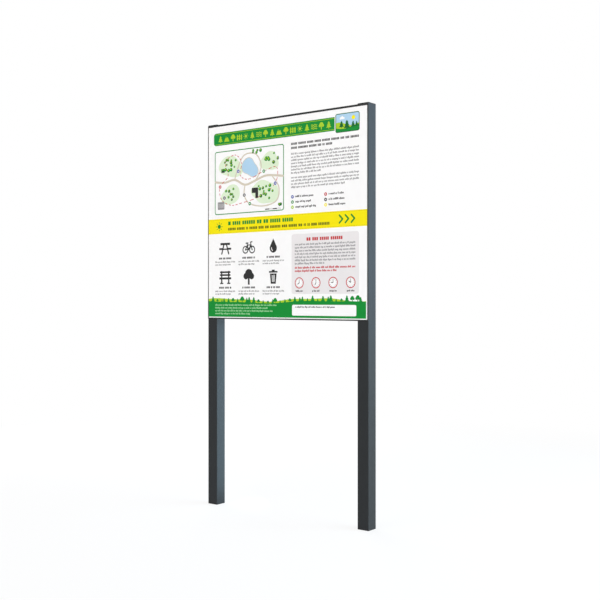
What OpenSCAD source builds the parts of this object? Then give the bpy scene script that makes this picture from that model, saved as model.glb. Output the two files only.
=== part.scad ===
// Outdoor information board: a printed sheet in front of two square tube posts,
// held from behind by three folded rails that are bolted between the posts.
// The front faces -Y and up is +Z. The origin lies on the plane of the feet,
// in the middle of the whole width and depth. All sizes are in millimetres.

/* [Posts] */
// Outer width and depth of the square tube
post_w = 80; // [70:1:120]
// Wall of the square tube
post_wall = 3; // [2:0.5:5]
// Outer radius of the tube's corners
post_corner_r = 3; // [3:0.5:10]
// Length of each tube, with the part that goes into the ground
post_length = 2550; // [2200:10:3200]
// Width over the outer sides of both posts
board_span = 1300; // [900:10:1800]

/* [Sign sheet and print] */
// Height of the sheet, measured down from the top of the tubes
sheet_h = 1300; // [700:10:1500]
// Thickness of the sheet
sheet_t = 3; // [2:0.5:5]
// Distance from the outer side of a post in to the sheet's edge
sheet_inset = 1; // [0.5:0.5:5]
// Radius of the sheet's four corners
sheet_corner_r = 2; // [1:0.5:20]
// Thickness of the printed film and its laminate
film_t = 0.3; // [0.2:0.1:0.6]
// Bare edge of the sheet above the film
film_margin_top = 13; // [3:1:30]
// Bare edge of the sheet under the film
film_margin_bottom = 8; // [3:1:30]
// Bare edge of the sheet beside the film, left and right
film_margin_side = 7; // [3:1:30]

/* [Post caps] */
// Thickness of the cap's flange, which shows above the tube
cap_flange_t = 6; // [5:0.5:10]
// Rounding of the flange's upper edge
cap_edge_r = 2.5; // [1:0.5:2.5]
// Length of the skirt inside the tube
cap_skirt_l = 24; // [15:1:40]
// Wall of the skirt
cap_wall = 2.5; // [1.5:0.5:4]
// Number of gripping fins round the skirt
cap_fins = 4; // [2:1:6]
// Thickness of one fin
cap_fin_t = 1.2; // [0.8:0.1:2]
// How far a fin stands out from the skirt
cap_fin_w = 2.5; // [1:0.5:4]
// Clearance between the fins and the tube
cap_gap = 0.3; // [0.1:0.1:0.5]

/* [Rails] */
// Height of the folded channel
rail_h = 60; // [50:1:90]
// Depth of the channel, from its web to its lips
rail_d = 30; // [20:1:34]
// Thickness of the folded steel
rail_t = 2.5; // [1.5:0.5:4]
// Width of each lip, with its bend
rail_lip = 13; // [10:1:16]
// Inner radius of the bends
rail_bend_r = 3; // [1:0.5:5]
// Distance from the sheet's top or bottom edge to the centre of the nearest rail
rail_inset = 130; // [60:5:220]

/* [Rail end plates] */
// Thickness of the end plate
plate_t = 5; // [3:0.5:8]
// Corner radius of the end plate
plate_corner_r = 4; // [1:0.5:8]
// How far the plate reaches above and below the rail
plate_lip = 8; // [6:1:20]
// Clearance between the plate's front edge and the sheet
plate_front_gap = 1; // [0.5:0.5:3]
// Distance from the plate's rear edge to the rear side of the post
plate_rear_gap = 7; // [4:1:12]
// Distance from a bolt's axis to the plate's top or bottom edge
bolt_edge = 16; // [12:1:20]

/* [Rail bolts] */
// Thread diameter of the bolts
bolt_d = 8; // [6:1:8]
// Length of the bolt under its head
bolt_length = 25; // [20:1:40]
// Width across the flats of the bolt's head
bolt_head_af = 13; // [10:0.5:15]
// Height of the bolt's head
bolt_head_h = 5.3; // [4:0.1:7]
// How much wider than the bolt the hole in the end plate is
bolt_hole_play = 1; // [0.5:0.1:2]
// Outer diameter of the bolt's washer
bolt_washer_od = 16; // [14:1:22]
// Thickness of the bolt's washer
bolt_washer_t = 1.6; // [1:0.1:2.5]
// How much wider than its screw the hole in a washer is
washer_play = 0.4; // [0.3:0.1:0.8]

/* [Rivet nuts] */
// Diameter of the nut's flange
rivet_flange_d = 15; // [13:0.5:18]
// Thickness of the nut's flange
rivet_flange_t = 1.5; // [0.8:0.1:2]
// Diameter of the nut's body
rivet_body_d = 11; // [10:0.1:12]
// Length of the nut's body under its flange
rivet_body_l = 19; // [16:1:26]
// Diameter of the collar that is pressed out behind the tube wall
rivet_collar_d = 14; // [12.5:0.5:16]
// Length of the collar
rivet_collar_l = 4; // [2:0.5:6]
// Clearance round the body in the hole of the tube
rivet_hole_gap = 0.1; // [0.05:0.05:0.3]

/* [Weld studs] */
// Number of studs along one rail
studs_per_rail = 5; // [3:1:9]
// Distance from a rail's end to its first stud
stud_end = 60; // [30:5:120]
// Thread diameter of the studs
stud_d = 6; // [5:1:6]
// Length of the stud behind the sheet
stud_length = 16; // [14:1:22]
// Diameter of the stud's welded foot
stud_foot_d = 7.5; // [7:0.1:9]
// Thickness of the stud's welded foot
stud_foot_t = 1; // [0.6:0.1:1.4]
// How much wider than the stud's foot the hole in the rail is
stud_hole_play = 1.5; // [0.5:0.1:3]
// Outer diameter of the stud's washer
stud_washer_od = 18; // [14:1:24]
// Thickness of the stud's washer
stud_washer_t = 1.6; // [1:0.1:2.5]
// Width across the flats of the stud's nut
stud_nut_af = 10; // [9:0.5:13]
// Height of the hexagon part of the stud's nut
stud_nut_h = 4.8; // [3:0.1:7]
// Height of the nut's round locking collar
stud_nut_collar_h = 1.4; // [1:0.1:3]
// Clearance all round between a thread and its nut
thread_gap = 0.1; // [0.05:0.05:0.2]

/* [Hidden] */
$fn = 64;

left = -1;
right = 1;

// The whole depth runs from the film's face to the posts' rear sides,
// and the posts are moved back so that its middle lies on the origin
front_build = sheet_t + film_t;
post_y = front_build / 2;
post_front_y = post_y - post_w / 2;
post_rear_y = post_y + post_w / 2;
post_x = board_span / 2 - post_w / 2;
post_inner_x = board_span / 2 - post_w;
tube_inner_w = post_w - 2 * post_wall;
tube_inner_r = max(post_corner_r - post_wall, 0.5);

sheet_w = board_span - 2 * sheet_inset;
sheet_top_z = post_length;
sheet_bottom_z = post_length - sheet_h;
film_w = sheet_w - 2 * film_margin_side;
film_bottom_z = sheet_bottom_z + film_margin_bottom;
film_top_z = sheet_top_z - film_margin_top;

rail_outer_r = rail_t + rail_bend_r;
plate_outer_x = post_inner_x - rivet_flange_t;
rail_half_l = plate_outer_x - plate_t;
rail_top_z = sheet_top_z - rail_inset;
rail_bottom_z = sheet_bottom_z + rail_inset;
rail_middle_z = (rail_top_z + rail_bottom_z) / 2;
rail_heights = [rail_bottom_z, rail_middle_z, rail_top_z];
rail_rear_y = post_front_y + rail_d;

plate_h = rail_h + 2 * plate_lip;
plate_front_y = post_front_y + plate_front_gap;
plate_rear_y = post_rear_y - plate_rear_gap;
plate_d = plate_rear_y - plate_front_y;

bolt_y = (rail_rear_y + plate_rear_y) / 2;
bolt_rise = plate_h / 2 - bolt_edge;
bolt_hole_r = (bolt_d + bolt_hole_play) / 2;
bolt_seat = rivet_flange_t + plate_t;
bolt_tip_chamfer = 1;
head_chamfer_deg = 30;

stud_first_x = rail_half_l - stud_end;
stud_step = 2 * stud_first_x / (studs_per_rail - 1);
stud_xs = [for (i = [0 : studs_per_rail - 1]) -stud_first_x + i * stud_step];
stud_hole_r = (stud_foot_d + stud_hole_play) / 2;
stud_tip_chamfer = 0.8;

post_colour = "#3a3f42";
rail_colour = "#43494c";
cap_colour = "#202224";
sheet_colour = "#34383a";
film_colour = "#f7f8f6";
zinc_colour = "#b9bec2";
stainless_colour = "#c9cccd";

// A rectangle with round corners, drawn from squares and circles
module rounded_rect(w, h, r) {
    square([w - 2 * r, h], center = true);
    square([w, h - 2 * r], center = true);
    for (sx = [-1, 1], sy = [-1, 1]) {
        translate([sx * (w / 2 - r), sy * (h / 2 - r)])
            circle(r);
    }
}

// A square ring: the section of a tube with round corners
module tube_section(w, wall, outer_r, inner_r) {
    difference() {
        rounded_rect(w, w, outer_r);
        rounded_rect(w - 2 * wall, w - 2 * wall, inner_r);
    }
}

// A square plate whose upper edge is rounded all the way round
module soft_plate(w, t, corner_r, edge_r) {
    side_l = w - 2 * corner_r;
    linear_extrude(t - edge_r)
        rounded_rect(w, w, corner_r);
    linear_extrude(t)
        rounded_rect(w - 2 * edge_r, w - 2 * edge_r, corner_r - edge_r);
    translate([0, 0, t - edge_r]) {
        for (turn = [0 : 90 : 270]) {
            rotate(turn)
                translate([w / 2 - edge_r, 0, 0])
                    rotate([90, 0, 0])
                        cylinder(r = edge_r, h = side_l, center = true);
            rotate(turn)
                translate([side_l / 2, side_l / 2, 0])
                    rotate_extrude()
                        soft_corner(corner_r, edge_r);
        }
    }
}

// Half the section of a plate's corner, turned about the corner's centre
module soft_corner(corner_r, edge_r) {
    flat_w = corner_r - edge_r;
    square([flat_w, edge_r]);
    translate([flat_w, 0]) {
        intersection() {
            circle(edge_r);
            square(edge_r);
        }
    }
}

// The folded channel in section: x runs back from the web, y is the height
module channel_section() {
    difference() {
        translate([rail_d / 2, 0])
            rounded_rect(rail_d, rail_h, rail_outer_r);
        translate([rail_d / 2, 0])
            rounded_rect(rail_d - 2 * rail_t, rail_h - 2 * rail_t, rail_bend_r);
        translate([rail_d / 2, rail_lip - rail_h / 2])
            square([rail_d, rail_h - 2 * rail_lip]);
    }
}

// Places its children on the inner face of a post, at each bolt of one rail.
// Local +Z points out of the wall, to the middle of the board
module at_rail_bolts(side, z) {
    for (rise = [-bolt_rise, bolt_rise]) {
        translate([side * post_inner_x, bolt_y, z + rise])
            rotate([0, -90 * side, 0])
                children();
    }
}

// The same for all three rails and both posts
module at_all_bolts() {
    for (side = [left, right], z = rail_heights) {
        at_rail_bolts(side, z)
            children();
    }
}

// Places its children on the sheet's back at each stud. Local +Z points to the rear
module at_studs() {
    for (x = stud_xs, z = rail_heights) {
        translate([x, post_front_y, z])
            rotate([-90, 0, 0])
                children();
    }
}

// A hexagon prism whose upper corners are cut back at a shallow angle
module hexagon(af, h) {
    corner_r = af / sqrt(3);
    drop = (corner_r - af / 2) * tan(head_chamfer_deg);
    intersection() {
        cylinder(r = corner_r, h = h, $fn = 6);
        union() {
            cylinder(r = corner_r + 1, h = h - drop);
            translate([0, 0, h - drop])
                cylinder(r1 = corner_r, r2 = af / 2, h = drop);
        }
    }
}

// A round screw shank that points down from its top face, with a chamfered tip
module shank(d, l, tip) {
    translate([0, 0, tip - l])
        cylinder(d = d, h = l - tip);
    translate([0, 0, -l])
        cylinder(d1 = d - 2 * tip, d2 = d, h = tip);
}

// A flat washer that stands on its lower face
module washer(screw_d, od, t) {
    difference() {
        cylinder(d = od, h = t);
        translate([0, 0, -1])
            cylinder(d = screw_d + washer_play, h = t + 2);
    }
}

// Square tube post with the holes for its rivet nuts in the inner wall
module post(side) {
    color(post_colour)
        difference() {
            translate([side * post_x, post_y, 0])
                linear_extrude(post_length)
                    tube_section(post_w, post_wall, post_corner_r, tube_inner_r);
            for (z = rail_heights) {
                at_rail_bolts(side, z)
                    translate([0, 0, -post_wall - 1])
                        cylinder(d = rivet_body_d + 2 * rivet_hole_gap, h = post_wall + 2);
            }
        }
}

module post_left() {
    post(left);
}

module post_right() {
    post(right);
}

// Moulded cap: a soft-edged flange on the tube and a finned skirt inside it
module post_cap(side) {
    fin_outer = tube_inner_w - 2 * cap_gap;
    fin_r = max(tube_inner_r - cap_gap, 0.2);
    core_w = fin_outer - 2 * cap_fin_w;
    core_r = 1.5;
    fin_step = cap_skirt_l / cap_fins;
    color(cap_colour)
        translate([side * post_x, post_y, post_length]) {
            soft_plate(post_w, cap_flange_t, post_corner_r, cap_edge_r);
            translate([0, 0, -cap_skirt_l]) {
                difference() {
                    union() {
                        linear_extrude(cap_skirt_l)
                            rounded_rect(core_w, core_w, core_r);
                        for (i = [0 : cap_fins - 1]) {
                            translate([0, 0, (i + 0.5) * fin_step - cap_fin_t / 2])
                                linear_extrude(cap_fin_t)
                                    rounded_rect(fin_outer, fin_outer, fin_r);
                        }
                    }
                    translate([0, 0, -1])
                        linear_extrude(cap_skirt_l + 1)
                            rounded_rect(core_w - 2 * cap_wall, core_w - 2 * cap_wall, core_r);
                }
            }
        }
}

module post_cap_left() {
    post_cap(left);
}

module post_cap_right() {
    post_cap(right);
}

// Flat sheet against the front of both posts and the webs of the rails
module sign_sheet() {
    color(sheet_colour)
        translate([0, post_front_y, (sheet_top_z + sheet_bottom_z) / 2])
            rotate([90, 0, 0])
                linear_extrude(sheet_t)
                    rounded_rect(sheet_w, sheet_h, sheet_corner_r);
}

// Printed and laminated film on the sheet's face
module print_film() {
    color(film_colour)
        translate([-film_w / 2, post_front_y - sheet_t - film_t, film_bottom_z])
            cube([film_w, film_t, film_top_z - film_bottom_z]);
}

// Folded channel between two end plates, drilled in its web for the studs
module rail(z) {
    color(rail_colour)
        difference() {
            translate([-rail_half_l, post_front_y, z])
                rotate([90, 0, 90])
                    linear_extrude(2 * rail_half_l)
                        channel_section();
            for (x = stud_xs) {
                translate([x, post_front_y - 1, z])
                    rotate([-90, 0, 0])
                        cylinder(r = stud_hole_r, h = rail_t + 2);
            }
        }
}

module rail_top() {
    rail(rail_top_z);
}

module rail_middle() {
    rail(rail_middle_z);
}

module rail_bottom() {
    rail(rail_bottom_z);
}

// Plate on a rail's end. It bears on the flanges of the rivet nuts
module end_plate(side, z) {
    centre_x = side * (plate_outer_x - plate_t / 2);
    color(rail_colour)
        difference() {
            translate([centre_x - plate_t / 2, (plate_front_y + plate_rear_y) / 2, z])
                rotate([90, 0, 90])
                    linear_extrude(plate_t)
                        rounded_rect(plate_d, plate_h, plate_corner_r);
            at_rail_bolts(side, z)
                cylinder(r = bolt_hole_r, h = bolt_seat + 1);
        }
}

module end_plate_top_left() {
    end_plate(left, rail_top_z);
}

module end_plate_top_right() {
    end_plate(right, rail_top_z);
}

module end_plate_middle_left() {
    end_plate(left, rail_middle_z);
}

module end_plate_middle_right() {
    end_plate(right, rail_middle_z);
}

module end_plate_bottom_left() {
    end_plate(left, rail_bottom_z);
}

module end_plate_bottom_right() {
    end_plate(right, rail_bottom_z);
}

// Hexagon bolts through the end plates into the rivet nuts
module rail_bolts() {
    color(stainless_colour)
        at_all_bolts()
            translate([0, 0, bolt_seat + bolt_washer_t]) {
                hexagon(bolt_head_af, bolt_head_h);
                shank(bolt_d, bolt_length, bolt_tip_chamfer);
            }
}

module rail_bolt_washers() {
    color(stainless_colour)
        at_all_bolts()
            translate([0, 0, bolt_seat])
                washer(bolt_d, bolt_washer_od, bolt_washer_t);
}

// Rivet nuts: a flange on the post's inner face and a collar behind the wall
module rivet_nuts() {
    color(zinc_colour)
        at_all_bolts()
            difference() {
                union() {
                    cylinder(d = rivet_flange_d, h = rivet_flange_t);
                    translate([0, 0, -rivet_body_l])
                        cylinder(d = rivet_body_d, h = rivet_body_l);
                    translate([0, 0, -post_wall - rivet_collar_l])
                        cylinder(d = rivet_collar_d, h = rivet_collar_l);
                }
                translate([0, 0, -rivet_body_l - 1])
                    cylinder(d = bolt_d + 2 * thread_gap, h = rivet_body_l + rivet_flange_t + 2);
            }
}

// Threaded studs that are welded to the back of the sheet
module weld_studs() {
    color(stainless_colour)
        at_studs() {
            cylinder(d = stud_foot_d, h = stud_foot_t);
            rotate([180, 0, 0])
                shank(stud_d, stud_length, stud_tip_chamfer);
        }
}

module stud_washers() {
    color(stainless_colour)
        at_studs()
            translate([0, 0, rail_t])
                washer(stud_d, stud_washer_od, stud_washer_t);
}

// Locking nuts: a hexagon with a round collar that holds the nylon ring
module stud_nuts() {
    color(stainless_colour)
        at_studs()
            translate([0, 0, rail_t + stud_washer_t])
                difference() {
                    union() {
                        hexagon(stud_nut_af, stud_nut_h);
                        cylinder(d = stud_nut_af - 1, h = stud_nut_h + stud_nut_collar_h);
                    }
                    translate([0, 0, -1])
                        cylinder(d = stud_d + 2 * thread_gap, h = stud_nut_h + stud_nut_collar_h + 2);
                }
}

post_left();
post_right();
post_cap_left();
post_cap_right();
sign_sheet();
print_film();
rail_top();
rail_middle();
rail_bottom();
end_plate_top_left();
end_plate_top_right();
end_plate_middle_left();
end_plate_middle_right();
end_plate_bottom_left();
end_plate_bottom_right();
rail_bolts();
rail_bolt_washers();
rivet_nuts();
weld_studs();
stud_washers();
stud_nuts();
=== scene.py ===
"""Outdoor information board: a printed sheet in front of two square tube posts.

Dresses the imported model. It draws the printed face, gives every part its coat or metal,
adds the weld beads, screw threads and nylon rings, and sets up a plain studio.
"""

import random
from math import cos, hypot, pi, radians, sin, sqrt, tau

import bmesh
import bpy
from bpy.props import FloatProperty, FloatVectorProperty, IntProperty, PointerProperty
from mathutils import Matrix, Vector
from mathutils.geometry import delaunay_2d_cdt


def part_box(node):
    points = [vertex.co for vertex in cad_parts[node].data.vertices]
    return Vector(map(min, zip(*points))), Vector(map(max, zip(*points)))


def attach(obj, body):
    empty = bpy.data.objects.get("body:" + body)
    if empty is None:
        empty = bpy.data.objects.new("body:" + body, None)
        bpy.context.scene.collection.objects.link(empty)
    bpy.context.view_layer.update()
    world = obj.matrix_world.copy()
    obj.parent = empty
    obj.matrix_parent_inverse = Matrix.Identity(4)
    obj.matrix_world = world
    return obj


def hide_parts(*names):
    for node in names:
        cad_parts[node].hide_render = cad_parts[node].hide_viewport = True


bl_info = {
    "name": "Outdoor Information Board",
    "version": (1, 0, 0),
    "blender": (4, 5, 0),
    "location": "View3D > Sidebar > Board",
    "description": "Finishes, print and fine parts of an outdoor information board",
    "category": "Object",
}

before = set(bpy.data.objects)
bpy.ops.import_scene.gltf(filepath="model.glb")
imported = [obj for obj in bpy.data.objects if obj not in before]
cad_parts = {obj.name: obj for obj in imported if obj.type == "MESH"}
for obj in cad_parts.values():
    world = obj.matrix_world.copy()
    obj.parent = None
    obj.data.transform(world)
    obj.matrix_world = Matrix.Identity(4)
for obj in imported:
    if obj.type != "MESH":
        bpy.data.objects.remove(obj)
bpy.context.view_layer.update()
FILM_LOW, FILM_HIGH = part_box("print_film")
POST_LOW, POST_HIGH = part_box("post_right")
STUDS_LOW, STUDS_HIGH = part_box("weld_studs")
BODY = "root"
RAILS = ("top", "middle", "bottom")
SIDES = ("left", "right")
RAIL_BOXES = [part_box("rail_" + rail) for rail in RAILS]
MM = 0.001

# Sizes of the solids that their boxes don't give
RAIL_BEND = 5.5 * MM
STUDS_PER_RAIL = 5
STUD_RADIUS = 3.0 * MM
STUD_FOOT_RADIUS = 3.75 * MM


# Settings

def colour(name, description, *default):
    """A colour setting. The default is in display values from 0 to 255."""
    shares = [value / 255 for value in default]
    return FloatVectorProperty(
        name=name, description=description, subtype="COLOR", size=3, min=0.0, max=1.0,
        default=tuple(s / 12.92 if s <= 0.04045 else ((s + 0.055) / 1.055) ** 2.4 for s in shares))


def length(name, description, default):
    """A length setting in metres. The default is in millimetres."""
    return FloatProperty(
        name=name, description=description, subtype="DISTANCE", unit="LENGTH",
        min=0.0, precision=5, default=default * MM)


def power(name, description, default):
    """The power of a lamp, in watts."""
    return FloatProperty(
        name=name, description=description, subtype="POWER", unit="POWER",
        min=0.0, default=default)


class PrintSettings(bpy.types.PropertyGroup):
    """Sizes and inks of the printed face."""

    header_height: length("Header height", "Height of the green band at the top", 84)
    notice_height: length("Notice height", "Height of the yellow band", 100)
    footer_height: length("Footer height", "Height of the green hills at the foot", 112)
    line_pitch: length("Line pitch", "Distance between two lines of small print", 20)
    line_height: length("Line height", "Height of the bars that stand for small print", 8.5)
    seed: IntProperty(name="Seed", description="Changes the lengths of the words", default=11)
    ground: colour("Ground", "White of the film where nothing is printed", 249, 250, 249)
    green: colour("Green", "Header, frames and front hills", 10, 138, 50)
    deep_green: colour("Deep green", "Trees and edges", 8, 98, 42)
    lime: colour("Lime", "Header frieze and back hills", 168, 206, 44)
    mint: colour("Mint", "Small print on green", 150, 207, 152)
    yellow: colour("Yellow", "Notice band", 245, 230, 2)
    olive: colour("Olive", "Small print on yellow", 96, 104, 18)
    red: colour("Red", "Heading, trail and the rings of the dials", 192, 42, 50)
    charcoal: colour("Charcoal", "Icons and bold print", 44, 44, 44)
    grey: colour("Grey", "Small print on white", 146, 146, 146)
    pale_grey: colour("Pale grey", "Ground of the box with the dials", 232, 230, 230)
    sand: colour("Sand", "Paths on the plan", 208, 200, 182)
    meadow: colour("Meadow", "Lawns on the plan", 220, 238, 208)
    pond: colour("Pond", "Water on the plan, and the landscape's sky", 176, 212, 236)
    blue: colour("Blue", "Markers of the plan", 34, 66, 158)
    black: colour("Black", "Scale bar", 14, 14, 14)
    peel: length("Peel", "Depth of the laminate's soft ripple", 0.05)


class CoatSettings(bpy.types.PropertyGroup):
    """Colours and texture of the coats, plastics and metals."""

    posts: colour("Posts", "Powder coat of the posts, rails and end plates", 34, 37, 39)
    sheet: colour("Sheet", "Coat of the sign sheet", 34, 36, 36)
    caps: colour("Caps", "Moulded plastic of the post caps", 17, 18, 19)
    nylon: colour("Nylon", "Locking rings of the stud nuts", 222, 224, 216)
    stainless: colour("Stainless", "Bolts, studs, washers and nuts", 208, 207, 203)
    zinc: colour("Zinc", "Plating of the rivet nuts", 190, 196, 204)
    grain: length("Grain", "Depth of the powder coat's fine texture", 0.1)


class FixingSettings(bpy.types.PropertyGroup):
    """Sizes of the fine parts that the solids leave out."""

    bead_leg: length("Bead leg", "Leg of the weld bead between rail and end plate", 3.2)
    bead_ripple: length("Bead ripple", "Distance between two ripples of the bead", 1.7)
    thread_pitch: length("Thread pitch", "Pitch of the studs' thread", 1.0)
    thread_depth: length("Thread depth", "Depth of the studs' thread", 0.55)
    ring_proud: length("Ring proud", "How far a nylon ring stands out of its nut", 0.12)


class StudioSettings(bpy.types.PropertyGroup):
    """Floor, light and camera."""

    floor: colour("Floor", "Pale studio floor", 222, 222, 222)
    key_light: colour("Key light", "Colour of the front softbox", 255, 244, 243)
    side_light: colour("Side light", "Colour of the softbox behind the right side", 149, 204, 255)
    flank_light: colour("Flank light", "Colour of the softbox off the right side", 222, 245, 255)
    fill_light: colour("Fill light", "Colour of the low softbox behind the left post", 182, 223, 246)
    back_light: colour("Back light", "Colour of the softbox behind the left side", 250, 250, 250)
    key: power("Key lamp", "Power of the front softbox", 192.0)
    side: power("Side lamp", "Power of the softbox behind the right side", 39.0)
    flank: power("Flank lamp", "Power of the softbox off the right side", 770.0)
    fill: power("Fill lamp", "Power of the low softbox behind the left post", 3.3)
    back: power("Back lamp", "Power of the softbox behind the left side", 300.0)
    ambient: FloatProperty(
        name="Ambient", description="Light from all round", min=0.0, default=0.6)
    camera_place: FloatVectorProperty(
        name="Camera place", description="Where the camera stands", subtype="TRANSLATION",
        unit="LENGTH", size=3, default=(3.8516, -4.8562, 1.3760))
    camera_turn: FloatProperty(
        name="Camera turn", description="Turn of the level camera from looking along +Y",
        subtype="ANGLE", unit="ROTATION", default=radians(37.65))
    camera_lens: FloatProperty(
        name="Lens", description="Focal length on a 36 mm sensor",
        subtype="DISTANCE_CAMERA", unit="CAMERA", min=1.0, default=58.18)


# Shader expressions

class Value:
    """A node's output that takes part in ordinary sums. Each sum adds its Math node."""

    def __init__(self, nodes, socket):
        self.nodes = nodes
        self.socket = socket

    def sum_of(self, operation, first, second=0.0):
        """What a Math node makes of one or two numbers or values."""
        return self.nodes.add("ShaderNodeMath", {"operation": operation}, [first, second])["Value"]

    def __add__(self, other):
        return self.sum_of("ADD", self, other)

    def __radd__(self, other):
        return self.sum_of("ADD", other, self)

    def __sub__(self, other):
        return self.sum_of("SUBTRACT", self, other)

    def __rsub__(self, other):
        return self.sum_of("SUBTRACT", other, self)

    def __mul__(self, other):
        return self.sum_of("MULTIPLY", self, other)

    def __rmul__(self, other):
        return self.sum_of("MULTIPLY", other, self)

    def __abs__(self):
        return self.sum_of("ABSOLUTE", self)

    def larger(self, other):
        return self.sum_of("MAXIMUM", self, other)


class Node:
    """A node that was added. Its outputs are values, by name."""

    def __init__(self, nodes, node):
        self.nodes = nodes
        self.node = node

    def __getitem__(self, name):
        socket = next(s for s in self.node.outputs if s.enabled and s.name == name)
        return Value(self.nodes, socket)


class Nodes:
    """The node tree of a material or of the world."""

    def __init__(self, owner):
        owner.use_nodes = True
        self.owner = owner
        self.tree = owner.node_tree
        self.tree.nodes.clear()

    def add(self, kind, settings=None, sockets=None):
        """Adds a node, makes its settings, and fills its sockets with numbers or links.
        The sockets come as a list, in order, or as a dict with the sockets' names."""
        node = self.tree.nodes.new(kind)
        for key, setting in (settings or {}).items():
            setattr(node, key, setting)
        given = sockets or {}
        if isinstance(given, list):
            pairs = zip(node.inputs, given)
        else:
            named = {s.name: s for s in node.inputs if s.enabled}
            pairs = [(named[name], content) for name, content in given.items()]
        for socket, content in pairs:
            if isinstance(content, Value):
                self.tree.links.new(content.socket, socket)
            elif socket.type == "RGBA":
                socket.default_value = (*content, 1.0)
            else:
                socket.default_value = content
        return Node(self, node)

    def place(self):
        """The point in the frame that the solids share."""
        return self.add("ShaderNodeTexCoord")["Object"]

    def axes(self):
        """The three coordinates of that point."""
        split = self.add("ShaderNodeSeparateXYZ", {}, {"Vector": self.place()})
        return split["X"], split["Y"], split["Z"]

    def noise(self, grain_mm, detail=2.0, stretch=(1.0, 1.0, 1.0)):
        """Noise from 0 to 1 whose spots are about grain_mm wide, longer along a small stretch."""
        placed = self.add("ShaderNodeVectorMath", {"operation": "MULTIPLY"}, [self.place(), stretch])
        return self.add("ShaderNodeTexNoise", {}, {
            "Vector": placed["Vector"],
            "Scale": 1.0 / (grain_mm * MM),
            "Detail": detail,
            "Roughness": 0.55,
        })["Fac"]

    def step(self, value, start, end):
        """0 before start, 1 after end, and smooth between them."""
        return self.add("ShaderNodeMapRange", {"interpolation_type": "SMOOTHSTEP"}, {
            "Value": value, "From Min": start, "From Max": end})["Result"]

    def between(self, share, first, second):
        """The colour that lies that share of the way from first to second."""
        return self.add("ShaderNodeMix", {"data_type": "RGBA"}, {
            "Factor": share, "A": first, "B": second})["Result"]

    def bump(self, height, depth_m, strength=1.0):
        """The surface's direction where a texture of that depth raises it."""
        return self.add("ShaderNodeBump", {}, {
            "Strength": strength, "Distance": depth_m, "Height": height})["Normal"]

    def seen(self):
        """1 to the eye, straight or in gloss or glass, and 0 to the light that falls on things."""
        path = self.add("ShaderNodeLightPath")
        seen = path["Is Camera Ray"].larger(path["Is Glossy Ray"])
        return seen.larger(path["Is Transmission Ray"])

    def output(self, shader, kind="ShaderNodeOutputMaterial"):
        """Ends the tree with a shader, and gives back the material or world it is for."""
        self.add(kind, {}, {"Surface": shader})
        return self.owner

    def surface(self, sockets):
        """Ends the tree with a Principled shader."""
        return self.output(self.add("ShaderNodeBsdfPrincipled", {}, sockets)["BSDF"])


def shaded(tone, amount):
    """A colour made lighter or darker by a factor."""
    return tuple(min(1.0, part * amount) for part in tone)


def powder_coat(name, tone, grain, corners=False):
    """Satin powder coat: fine texture, soft clouds, and a thinner, paler coat on the posts' corners."""
    nodes = Nodes(bpy.data.materials.new(name))
    clouds = nodes.noise(160.0, 3.0)
    peel = nodes.noise(3.2)
    fine = nodes.step(nodes.noise(1.1, 1.0), 0.36, 0.64)
    tint = nodes.between(clouds * 0.55 + fine * 0.45, shaded(tone, 0.78), shaded(tone, 1.22))
    if corners:
        across, along, _ = nodes.axes()
        post_x = (POST_LOW.x + POST_HIGH.x) / 2
        post_y = (POST_LOW.y + POST_HIGH.y) / 2
        sharp = POST_HIGH.x - POST_LOW.x
        reach = abs(abs(across) - post_x) + abs(along - post_y)
        corner = nodes.step(reach, sharp - 3.6 * MM, sharp - 1.9 * MM)
        tint = nodes.between(corner * 0.4, tint, shaded(tone, 1.8))
    return nodes.surface({
        "Base Color": tint,
        "Roughness": 0.35 + clouds * 0.06 + fine * 0.08,
        "Specular IOR Level": 0.2,
        "Normal": nodes.bump(peel * 0.5 + fine * 0.5, grain),
    })


def laminated_ink(name, tone, peel):
    """One ink, a little uneven, under a satin laminate whose soft ripple catches the light."""
    nodes = Nodes(bpy.data.materials.new(name))
    ripple = nodes.noise(5.5, 1.5)
    dust = nodes.noise(70.0, 4.0)
    return nodes.surface({
        "Base Color": nodes.between(dust, shaded(tone, 0.96), shaded(tone, 1.03)),
        "Roughness": 0.3 + dust * 0.09 + ripple * 0.04,
        "Specular IOR Level": 0.14,
        "Normal": nodes.bump(ripple, peel, 0.4),
    })


def moulded_plastic(name, tone, depth):
    """Moulded plastic with a spark-eroded grain."""
    nodes = Nodes(bpy.data.materials.new(name))
    grain = nodes.noise(0.7)
    flow = nodes.noise(24.0)
    return nodes.surface({
        "Base Color": nodes.between(flow, shaded(tone, 0.85), shaded(tone, 1.25)),
        "Roughness": 0.5 + grain * 0.12,
        "Specular IOR Level": 0.3,
        "Normal": nodes.bump(grain, depth, 0.5),
    })


def turned_metal(name, tone, rough, stretch):
    """Bare metal with drawn marks and a little mottling."""
    nodes = Nodes(bpy.data.materials.new(name))
    marks = nodes.noise(0.6, 3.0, stretch)
    spots = nodes.noise(4.0)
    return nodes.surface({
        "Base Color": nodes.between(spots, shaded(tone, 0.8), shaded(tone, 1.05)),
        "Metallic": 1.0,
        "Roughness": rough + marks * 0.14 + spots * 0.06,
        "Normal": nodes.bump(marks, 0.01 * MM, 0.4),
    })


# Pieces

def dress(node_names, material):
    """Gives CAD nodes a material."""
    for name in node_names:
        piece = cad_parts[name]
        if not piece.material_slots:
            piece.data.materials.append(material)
        for slot in piece.material_slots:
            slot.material = material


def add_object(name, data):
    """Puts a mesh, lamp or camera in the scene."""
    made = bpy.data.objects.new(name, data)
    bpy.context.scene.collection.objects.link(made)
    return made


def mesh_object(name, bm, materials):
    """Makes an object of a bmesh, with its faces turned outwards."""
    bmesh.ops.recalc_face_normals(bm, faces=bm.faces)
    mesh = bpy.data.meshes.new(name)
    bm.to_mesh(mesh)
    bm.free()
    for material in materials:
        mesh.materials.append(material)
    return add_object(name, mesh)


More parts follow.
